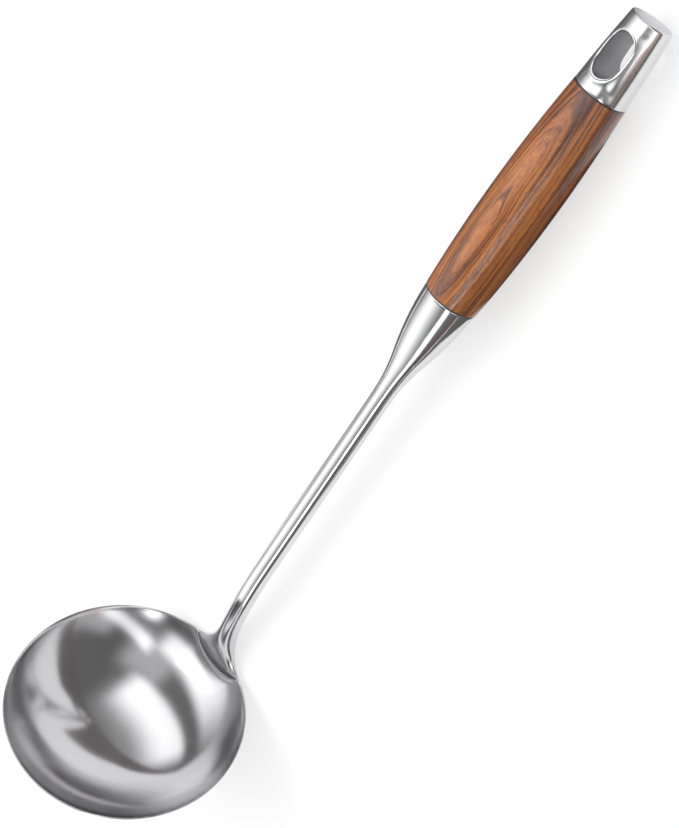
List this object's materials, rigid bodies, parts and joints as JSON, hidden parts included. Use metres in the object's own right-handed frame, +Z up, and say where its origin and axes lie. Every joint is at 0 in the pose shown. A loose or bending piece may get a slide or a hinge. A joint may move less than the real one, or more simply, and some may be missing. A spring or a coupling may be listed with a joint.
{
  "type": "wok ladle",
  "caption": "Round steel wok ladle with a long bent rod, a turned wooden grip and a slotted steel end cap for hanging.",
  "frame": {"origin": "on the surface the ladle lies on, at the middle of its bounding box", "axes": "+Z up as the ladle lies at rest, +X from the bowl along the nearly level handle to the end cap, the ladle symmetric about the XZ plane"},
  "size_m": [0.3783, 0.1, 0.0892],
  "materials": {
    "bowl_steel": "satin in the bowl, polished on the rod and the bell",
    "grip_wood": "reddish brown hardwood with a satin lacquer",
    "cap_steel": "polished, with a softer end face and slot walls",
    "stud_steel": "plain turned steel, hidden inside the handle"
  },
  "bodies": {
    "root": {"ladle_body": "bowl_steel", "wood_grip": "grip_wood", "end_cap": "cap_steel", "tang_stud": "stud_steel"}
  },
  "joints": []
}
